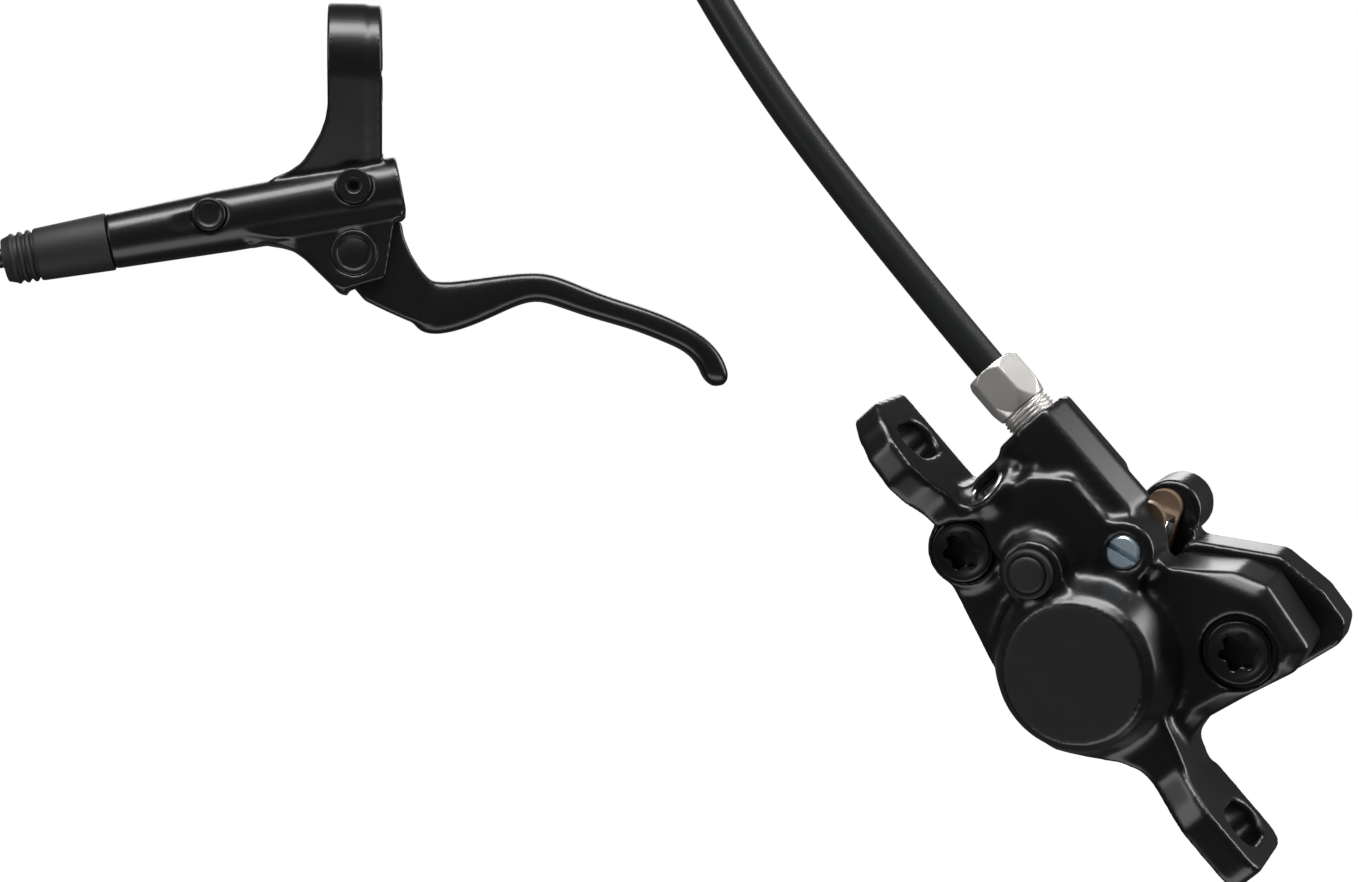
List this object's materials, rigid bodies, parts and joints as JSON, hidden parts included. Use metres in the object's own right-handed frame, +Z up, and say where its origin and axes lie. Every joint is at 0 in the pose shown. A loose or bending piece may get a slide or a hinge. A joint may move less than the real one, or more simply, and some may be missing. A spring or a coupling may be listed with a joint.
{
  "type": "hydraulic bicycle disc brake",
  "caption": "Hydraulic bicycle disc brake: handlebar clamp with cylinder tube and finger lever, hose in a rubber boot, and a post-mount caliper with opposed pistons and pads.",
  "frame": {"origin": "centre of the handlebar clamp's bore", "axes": "+X along the handlebar towards the lever's tip side, +Z up from the lever to the bar, -Y towards the rider's fingers and the viewer"},
  "size_m": [0.327, 0.3247, 0.2419],
  "materials": {
    "satin_black": "satin black on cast aluminium",
    "black_steel": "blackened steel",
    "zinc_steel": "bright zinc plate",
    "nut_steel": "plain turned steel",
    "spring_steel": "stainless strip",
    "pad_plate": "brown heat-tinted backing plate",
    "lining": "rough friction compound",
    "bare_aluminium": "turned",
    "brass": "turned",
    "polymer": "moulded resin",
    "black_polymer": "moulded",
    "rubber": "moulded rubber",
    "hose": "smooth black nylon"
  },
  "bodies": {
    "brake_body": {"lever_housing": "satin_black", "clamp_bolt": "black_steel", "pivot_pin": "black_steel", "bleed_screw": "black_steel", "bleed_screw_seal": "rubber", "side_plug": "black_polymer", "piston_clip": "zinc_steel", "return_spring": "zinc_steel", "lever_nut": "zinc_steel", "lever_olive": "brass", "lever_insert": "zinc_steel", "hose_boot": "rubber", "brake_hose": "hose", "caliper_nut": "nut_steel", "caliper_olive": "brass", "caliper_insert": "zinc_steel", "caliper_outer_half": "satin_black", "caliper_inner_half": "satin_black", "body_bolts": "black_steel", "bleed_nipple": "zinc_steel", "bleed_cap": "rubber", "pad_axle": "zinc_steel", "gallery_plug": "black_steel", "joint_seal": "rubber", "axle_clip": "zinc_steel", "outer_piston_seal": "rubber", "inner_piston_seal": "rubber", "pad_spring": "spring_steel"},
    "lever": {"lever_blade": "satin_black", "front_bush": "polymer", "back_bush": "polymer"},
    "master_piston_group": {"master_piston": "bare_aluminium", "primary_cup": "rubber", "secondary_cup": "rubber", "pushrod": "zinc_steel"},
    "outer_pad_group": {"outer_piston": "polymer", "outer_pad_plate": "pad_plate", "outer_pad_lining": "lining"},
    "inner_pad_group": {"inner_piston": "polymer", "inner_pad_plate": "pad_plate", "inner_pad_lining": "lining"}
  },
  "joints": [
    {"name": "lever_pivot", "type": "hinge", "parent": "brake_body", "child": "lever", "pos_m": [-0.0003, 0, -0.04904], "axis": [0, -1, 0], "range_deg": [0, 18], "stiffness_Nm_per_rad": 0.6, "springref_deg": -5.73},
    {"name": "master_piston_slide", "type": "slide", "parent": "brake_body", "child": "master_piston_group", "axis": [-0.982, 0, -0.1891], "range_m": [0, 0.0046], "stiffness_N_per_m": 200, "deforming": ["return_spring"]},
    {"name": "outer_piston_slide", "type": "slide", "parent": "brake_body", "child": "outer_pad_group", "axis": [0.5008, 0.8546, 0.1376], "range_m": [0, 0.00062]},
    {"name": "inner_piston_slide", "type": "slide", "parent": "brake_body", "child": "inner_pad_group", "axis": [-0.5008, -0.8546, -0.1376], "range_m": [0, 0.00062]}
  ],
  "couplings": [
    {"joint": "master_piston_slide", "follows": "lever_pivot", "m_per_rad": 0.0143},
    {"joint": "outer_piston_slide", "follows": "lever_pivot", "m_per_rad": 0.00191},
    {"joint": "inner_piston_slide", "follows": "lever_pivot", "m_per_rad": 0.00191}
  ]
}
